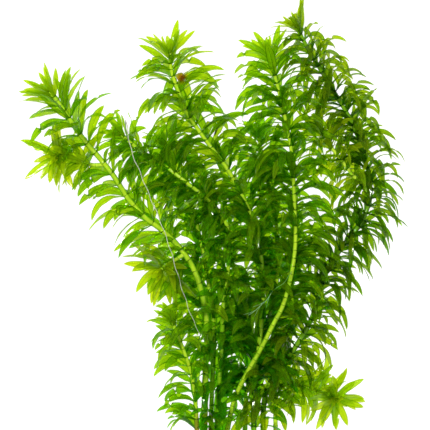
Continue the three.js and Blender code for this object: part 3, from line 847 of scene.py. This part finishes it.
def add_leaf(body, leaf, slender, yellow, dark):
    share = np.arange(LEAF_STEPS) / LEAF_STEPS
    points = leaf["points"][:LEAF_STEPS].copy()
    points[0] += (leaf["core"] - points[0]) * INTO_STEM
    heading = leaf["headings"][:LEAF_STEPS]
    across = unit(np.cross(leaf["normals"][:LEAF_STEPS], heading))
    normal = np.cross(heading, across)
    half = (slender * leaf["width"] / 2 * width_profile(share))[:, None, None]
    u = ACROSS[None, :, None]
    turns = 2 * math.pi * (RIPPLES * share + leaf["phase"])
    ripple = WAVE * np.sin(turns)[:, None, None] * u
    ripple = ripple + WAVE * np.cos(EVEN_RIPPLES * turns)[:, None, None] * u**2
    rise = ripple * np.minimum(1, RIPPLE_RISE * share)[:, None, None] - TROUGH * half * (1 - u**2)
    upper = points[:, None] + across[:, None] * half * u + normal[:, None] * rise
    inner = ACROSS[1:-1][None, :, None]
    depth = THICKNESS * (1 - TIP_THINNING * share)[:, None, None] * (1 - EDGE_THINNING * inner**2)
    under = upper[:, 1:-1] - normal[:, None] * depth
    ring = np.concatenate([upper, under[:, ::-1]], axis=1).reshape(-1, 3)
    corners = np.vstack([ring, leaf["points"][-1]])
    corners[:, 2] = np.maximum(corners[:, 2], REST_HEIGHT)
    body.add(
        corners, LEAF_FACES, LEAF, sharp=LEAF_RIM,
        tint=leaf["tint"], age=leaf["age"], yellow=yellow, dark=dark,
        along=np.append(np.repeat(share, RING), 1),
        across=np.append(np.tile(ROUND, LEAF_STEPS), 0),
    )


def stem_stations(shoot, curve):
    """Distances of the stem's rings of corners, and those of its joints."""
    joints = whorl_distances(shoot, curve.length)
    below = joints[-1] - shoot["spacing"]
    least, more = JOINT_SPACING
    while below > LOWEST_JOINT:
        joints.append(below)
        below -= shoot["spacing"] * (least + more * chance(below, shoot["radius"]))
    marks = sorted(joint + offset for joint in joints for offset in NODE_OFFSETS)
    low, high = RING_MARGINS[0], curve.length - RING_MARGINS[1]
    marks = [0.0] + [mark for mark in marks if low < mark < high]
    end = curve.length - LAST_RING
    stations = []
    for near, far in zip(marks, marks[1:] + [end]):
        count = max(1, round((far - near) / STEM_STEP))
        stations += [near + (far - near) * i / count for i in range(count)]
    return np.array(stations + [end]), np.array(joints)


def tube(body, middles, sides, fronts, radii, count, **values):
    """A closed tube through the middles, with count corners to a ring and a fan at either end."""
    angles = np.arange(count) * 2 * math.pi / count
    spokes = [outward(side, front, angles) for side, front in zip(sides, fronts)]
    corners = np.vstack([middles[k] + spokes[k] * radii[k] for k in range(len(middles))])
    faces = []
    for i in range(len(middles) - 1):
        for k in range(count):
            after = (k + 1) % count
            near, far = i * count, (i + 1) * count
            faces.append((near + k, near + after, far + after, far + k))
    first = len(corners)
    corners = np.vstack([corners, middles[0], middles[-1]])
    last = (len(middles) - 1) * count
    for k in range(count):
        after = (k + 1) % count
        faces.append((after, k, first))
        faces.append((last + k, last + after, first + 1))
    rows = {name: np.append(np.repeat(v, count), [v[0], v[-1]]) for name, v in values.items()}
    # How far each corner faces up or down: a stem's colour is painted darker at its sides from this, as
    # painted shade
    rows["crown"] = np.append(np.abs(np.vstack(spokes)[:, 2]), [END_FACING_FOR_PAINTED_SHADE, END_FACING_FOR_PAINTED_SHADE])
    body.add(corners, faces, STEM, **rows)


def add_stem(body, shoot, number, curve, dark):
    """A stem with swollen joints, a bevelled cut end and a pointed apex."""
    stations, joints = stem_stations(shoot, curve)
    middles, _, sides, fronts = curve.frame(stations)
    gaps = np.abs(stations[:, None] - joints[None, :])
    ring = np.exp(-((gaps.min(axis=1) / NODE_WIDTH) ** 2))
    radii = stem_radius(shoot, stations, curve.length) * (1 + NODE_SWELL * ring)
    radii *= np.clip((curve.length - stations) / APEX_TAPER, APEX_RADIUS, 1) ** APEX_POWER
    # The cut end: two rings on its flat face, and the stem's first ring a bevel further up
    middles, sides, fronts = (np.vstack([v[0], v[0], v]) for v in (middles, sides, fronts))
    along = np.cross(fronts[0], sides[0])
    middles[2] += along * BEVEL
    radii = np.concatenate([[share * radii[0] for share in CUT_RINGS], radii])
    ring = np.concatenate([[0, 0], ring])
    cut = np.zeros(len(radii))
    cut[:2] = 1
    height = np.concatenate([[0, 0], stations]) / curve.length
    tube(
        body, middles, sides, fronts, radii, STEM_SIDES, ring=ring, cut=cut, along=height,
        tint=np.full(len(radii), chance(number, 9)), dark=np.interp(height, FOOT_MIDDLE_TIP, dark),
    )


def add_root(body, curve, radius, tip_radius, wave, green):
    steps = int(curve.length / ROOT_STEP)
    distances = np.linspace(0, curve.length, steps)
    middles, _, sides, fronts = curve.frame(distances)
    share = distances / curve.length
    free = np.minimum(1, WAVE_RISE * share)
    for across, (turn, start) in zip((sides, fronts), ROOT_WAVES):
        middles = middles + across * (wave * np.sin(distances * turn + start) * free)[:, None]
    radii = radius + (tip_radius - radius) * share
    tube(body, middles, sides, fronts, radii, ROOT_SIDES, along=share, tint=np.full(steps, green))
    return middles, sides


def add_hair(body, start, side, heading, length):
    """A fine hair that leaves a root at an acute angle."""
    steps = np.linspace(0, length, HAIR_RINGS)
    bent = side * (HAIR_BEND * steps**2)[:, None]
    middles = start + unit(heading + HAIR_SPLAY * side) * steps[:, None] + bent
    along = unit(middles[-1] - middles[0])
    across = unit(np.cross(along, UP))
    sides = np.tile(across, (HAIR_RINGS, 1))
    fronts = np.tile(np.cross(across, along), (HAIR_RINGS, 1))
    radii = np.linspace(*HAIR_RADII, HAIR_RINGS)
    pale = np.ones(HAIR_RINGS)
    tube(body, middles, sides, fronts, radii, HAIR_SIDES, along=pale, tint=pale)


class Shader:
    """A material's node tree, with short calls to add nodes and link them."""

    def __init__(self, name):
        self.material = bpy.data.materials.new(name)
        self.material.use_nodes = True
        self.tree = self.material.node_tree
        self.tree.nodes.clear()

    def node(self, kind, inputs=None, **settings):
        made = self.tree.nodes.new(kind)
        for key, value in settings.items():
            setattr(made, key, value)
        for key, value in (inputs or {}).items():
            if isinstance(value, bpy.types.NodeSocket):
                self.tree.links.new(value, made.inputs[key])
            else:
                made.inputs[key].default_value = value
        return made

    def value(self, name):
        return self.node("ShaderNodeAttribute", attribute_name=name).outputs["Fac"]

    def math(self, operation, a, b=0.0, c=0.0, clamp=False):
        made = self.node("ShaderNodeMath", {0: a, 1: b, 2: c}, operation=operation, use_clamp=clamp)
        return made.outputs[0]

    def ramp(self, value, low, high, to_low=0.0, to_high=1.0):
        made = self.node(
            "ShaderNodeMapRange",
            {"Value": value, "From Min": low, "From Max": high, "To Min": to_low, "To Max": to_high},
            interpolation_type="SMOOTHSTEP",
        )
        return made.outputs["Result"]

    def noise(self, scale, detail, stretch=None):
        place = self.node("ShaderNodeTexCoord").outputs["Object"]
        if stretch:
            place = self.node("ShaderNodeMapping", {"Vector": place, "Scale": stretch}).outputs[0]
        made = self.node("ShaderNodeTexNoise", {"Vector": place, "Scale": scale, "Detail": detail})
        return made.outputs["Fac"]

    def mix(self, amount, a, b):
        """A colour between a and b, each of them a socket or three shares."""
        a, b = ((*colour, 1.0) if isinstance(colour, tuple) else colour for colour in (a, b))
        made = self.node("ShaderNodeMix", data_type="RGBA", clamp_factor=True)
        for number, value in ((0, amount), (6, a), (7, b)):
            if isinstance(value, tuple):
                made.inputs[number].default_value = value
            else:
                self.tree.links.new(value, made.inputs[number])
        return made.outputs[2]

    def bump(self, height, strength, distance):
        made = self.node("ShaderNodeBump", {"Height": height, "Strength": strength, "Distance": distance})
        return made.outputs["Normal"]

    def tissue(self, colour, normal, roughness, share, clear, bend, gloss):
        """Plant tissue: share of the light scatters through it, and of the rest the clear part passes."""
        surface = self.node(
            "ShaderNodeBsdfPrincipled",
            {
                "Base Color": colour, "Roughness": roughness, "Normal": normal,
                "Transmission Weight": clear, "IOR": bend,
                "Coat Weight": gloss, "Coat Roughness": COAT_ROUGHNESS,
            },
        )
        inside = self.node("ShaderNodeBsdfTranslucent", {"Color": colour, "Normal": normal})
        both = self.node("ShaderNodeMixShader", {0: share, 1: surface.outputs[0], 2: inside.outputs[0]})
        self.node("ShaderNodeOutputMaterial", {"Surface": both.outputs[0]})
        return self.material


def leaf_material(name, green, yellow, deep, foot):
    """Leaf tissue: the light that one layer lets through, with veins, a midrib and painted shade at the
    edges.
    """
    s = Shader(name)
    tint = s.value("tint")
    along = s.value("along")
    across = s.value("across")
    age = s.value("age")
    blotch = s.ramp(s.noise(260, 4), 0.35, 0.7)
    depth = s.math("MULTIPLY", tint, DEPTHS[0])
    depth = s.math("MULTIPLY_ADD", s.value("dark"), DEPTHS[1], depth)
    depth = s.math("MULTIPLY_ADD", blotch, DEPTHS[2], depth)
    depth = s.math("ADD", depth, s.ramp(along, 0.0, 0.45, foot, 0.0), clamp=True)
    paleness = s.math("MULTIPLY_ADD", tint, TINT_YELLOW, s.value("yellow"), clamp=True)
    pale = s.mix(paleness, green, yellow)
    through = s.mix(depth, pale, deep)
    veins = s.math("SINE", s.math("MULTIPLY", across, VEIN_WAVES))
    midrib = s.ramp(s.math("ABSOLUTE", across), 0.0, MIDRIB, 1.0, 0.0)
    # Painted shade: the leaf is drawn darker towards its edges
    edge = s.ramp(s.math("ABSOLUTE", across), EDGE, 1.0)
    lines = s.ramp(veins, 0.3, 1.0, 0.0, LINES[0])
    lines = s.math("ADD", lines, s.math("MULTIPLY", midrib, LINES[1]))
    lines = s.math("ADD", lines, s.math("MULTIPLY", edge, LINES[2]))
    through = s.mix(lines, through, tuple(LINE_SHADE * part for part in deep))
    young = s.ramp(age, 0.15, 0.8, 0.7, 0.0)
    through = s.mix(young, through, pale)
    through = s.mix(s.value("worn"), through, BROWN_LEAF)
    grain = s.noise(2600, 2)
    through = s.mix(s.math("MULTIPLY", grain, 0.12), through, deep)
    height = s.math("ADD", s.math("MULTIPLY", veins, 0.35), s.math("MULTIPLY", grain, 0.5))
    height = s.math("SUBTRACT", height, midrib)
    normal = s.bump(height, 0.35, 0.00012)
    return s.tissue(through, normal, roughness=0.08, share=0.25, clear=0.9, bend=1.0, gloss=0.45)


def stem_material(name, pale, dark, ring_colour):
    """Stem tissue with lengthwise streaks, dark joints, a pale cut face and painted shade on its sides."""
    s = Shader(name)
    streaks = s.noise(420, 3, (1.0, 0.12, 1.0))
    tone = s.ramp(streaks, 0.35, 0.7, 0.0, 0.3)
    tone = s.math("ADD", tone, s.math("MULTIPLY", s.value("tint"), 0.15))
    # Painted shade: the sides of the stem are drawn darker than its top, which reads as a painted highlight
    tone = s.math("ADD", tone, s.ramp(s.value("crown"), 0.35, 0.95, 0.75, 0.0))
    tone = s.math("MULTIPLY_ADD", s.value("dark"), 0.45, tone, clamp=True)
    colour = s.mix(tone, pale, dark)
    colour = s.mix(s.ramp(s.value("ring"), 0.45, 1.0, 0.0, 0.9), colour, ring_colour)
    colour = s.mix(s.value("worn"), colour, BROWN_STEM)
    pores = s.ramp(s.noise(1900, 1), 0.42, 0.5)
    cut = s.mix(pores, CUT_PORES, CUT_FLESH)
    colour = s.mix(s.value("cut"), colour, cut)
    roughness = s.ramp(s.noise(900, 3), 0.3, 0.75, 0.15, 0.3)
    height = s.math("ADD", streaks, s.math("MULTIPLY", s.value("ring"), -0.6))
    normal = s.bump(height, 0.4, 0.00025)
    return s.tissue(colour, normal, roughness, share=0.35, clear=0.25, bend=1.0, gloss=0.4)


def root_material():
    s = Shader("root_thread")
    mottle = s.ramp(s.noise(900, 3), 0.35, 0.7)
    colour = s.mix(mottle, ROOT_GREY, ROOT_PALE)
    colour = s.mix(s.value("tint"), colour, ROOT_GREEN)
    foot = s.math("MULTIPLY_ADD", s.value("tint"), 0.4, 0.12)
    foot = s.math("LESS_THAN", s.value("along"), foot)
    colour = s.mix(s.math("MULTIPLY", foot, 0.8), colour, ROOT_FOOT)
    roughness = s.ramp(mottle, 0.0, 1.0, 0.35, 0.55)
    normal = s.bump(mottle, 0.3, 0.0001)
    return s.tissue(colour, normal, roughness, share=0.3, clear=0, bend=1.4, gloss=0.3)


def dress(curves, leaves):
    """One piece for each shoot, in place of its solid."""
    leaf_looks = {slot: leaf_material(*tissue) for slot, tissue in LEAF_TISSUE.items()}
    stem_looks = {slot: stem_material(*tissue) for slot, tissue in STEM_TISSUE.items()}
    for number, shoot in enumerate(SHOOTS):
        body = Body()
        look = LOOKS[shoot["name"]]
        narrow = NARROW.get(shoot["name"], (1, 1, 1))
        add_stem(body, shoot, number, curves[number], look["dark"])
        for leaf in leaves[number]:
            slender = SLENDER * np.interp(leaf["height"], FOOT_MIDDLE_TIP, narrow)
            dark = np.interp(leaf["height"], FOOT_MIDDLE_TIP, look["dark"])
            add_leaf(body, leaf, slender, look["yellow"], dark)
        slot = shoot["slot"]
        piece = body.make(shoot["name"] + "_foliage", [leaf_looks[slot], stem_looks[slot]])
        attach(piece, "root")
        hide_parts(shoot["name"])


def dress_roots():
    look = root_material()
    first, apart = HAIR_PLACES
    least, more = HAIR_LENGTH
    for root in ROOTS:
        body = Body()
        middles, sides = add_root(body, Curve(root["route"]), *root["thread"])
        for k in range(root["hairs"]):
            at = round(len(middles) * (first + apart * k))
            side = sides[at] * (1 if k % 2 else -1)
            heading = unit(middles[at + 1] - middles[at])
            add_hair(body, middles[at], side, heading, least + more * chance(k, 12))
        piece = body.make(root["name"] + "_thread", [look, look])
        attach(piece, "root")
        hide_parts(root["name"])


# The photograph's frame: its middle in the part's frame, and the width of surface that it shows
VIEW_MIDDLE = (2 * MM, 3.5 * MM)
VIEW_WIDTH = 215 * MM
FOCUS_HEIGHT = 12 * MM  # of the middle of the leaves over the surface
CAMERA_HEIGHT = 1.6
NEAREST_IN_VIEW = 0.05
SENSOR = 36

# The light table, in metres, its glow and its paper's grey
FLOOR_REACH = 3
GLOW = 1.0
PAPER_GREY = (0.2, 0.22)
ROOM_COLOUR = (0.95, 0.98, 1.0, 1)
ROOM_STRENGTH = 0.06

# Each light's name, place, size and power
LIGHTS = [
    ("key_light", (-0.3, 0.35, 1), 0.2, 17),
    ("fill_light", (0.6, -0.3, 0.8), 0.9, 5),
]


def add_camera():
    data = bpy.data.cameras.new("overhead_camera")
    data.sensor_width = SENSOR
    data.lens = SENSOR * (CAMERA_HEIGHT - FOCUS_HEIGHT) / VIEW_WIDTH
    data.clip_start = NEAREST_IN_VIEW
    camera = add_object("overhead_camera", data)
    camera.location = (*VIEW_MIDDLE, CAMERA_HEIGHT)
    bpy.context.scene.camera = camera


def add_floor():
    """A white surface that is lit from below, as on a light table."""
    mesh = bpy.data.meshes.new("floor")
    corners = [(x * FLOOR_REACH, y * FLOOR_REACH, 0) for x, y in ((-1, -1), (1, -1), (1, 1), (-1, 1))]
    mesh.from_pydata(corners, [], [(0, 1, 2, 3)])
    s = Shader("light_table")
    paper = s.ramp(s.noise(40, 4), 0.3, 0.7, *PAPER_GREY)
    colour = s.node("ShaderNodeCombineColor", {0: paper, 1: paper, 2: paper}).outputs[0]
    surface = s.node(
        "ShaderNodeBsdfPrincipled",
        {"Base Color": colour, "Roughness": 0.7, "Emission Color": (1, 1, 1, 1), "Emission Strength": GLOW},
    )
    s.node("ShaderNodeOutputMaterial", {"Surface": surface.outputs[0]})
    mesh.materials.append(s.material)
    floor = add_object("floor", mesh)


def add_lights():
    world = bpy.data.worlds.new("pale_room")
    world.use_nodes = True
    background = world.node_tree.nodes["Background"]
    background.inputs["Color"].default_value = ROOM_COLOUR
    background.inputs["Strength"].default_value = ROOM_STRENGTH
    bpy.context.scene.world = world
    for name, place, size, power in LIGHTS:
        data = bpy.data.lights.new(name, "AREA")
        data.size = size
        data.energy = power
        light = add_object(name, data)
        light.location = place
        aim = -np.array(place)
        tilt = math.acos(-aim[2] / np.linalg.norm(aim))
        turn = math.atan2(aim[1], aim[0]) - math.pi / 2
        light.rotation_euler = (tilt, 0, turn)


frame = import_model()

add_camera()
add_floor()
add_lights()
bpy.context.scene.view_settings.view_transform = "Standard"

stem_curves, shoot_leaves = grow_bunch()
dress(stem_curves, shoot_leaves)
dress_roots()
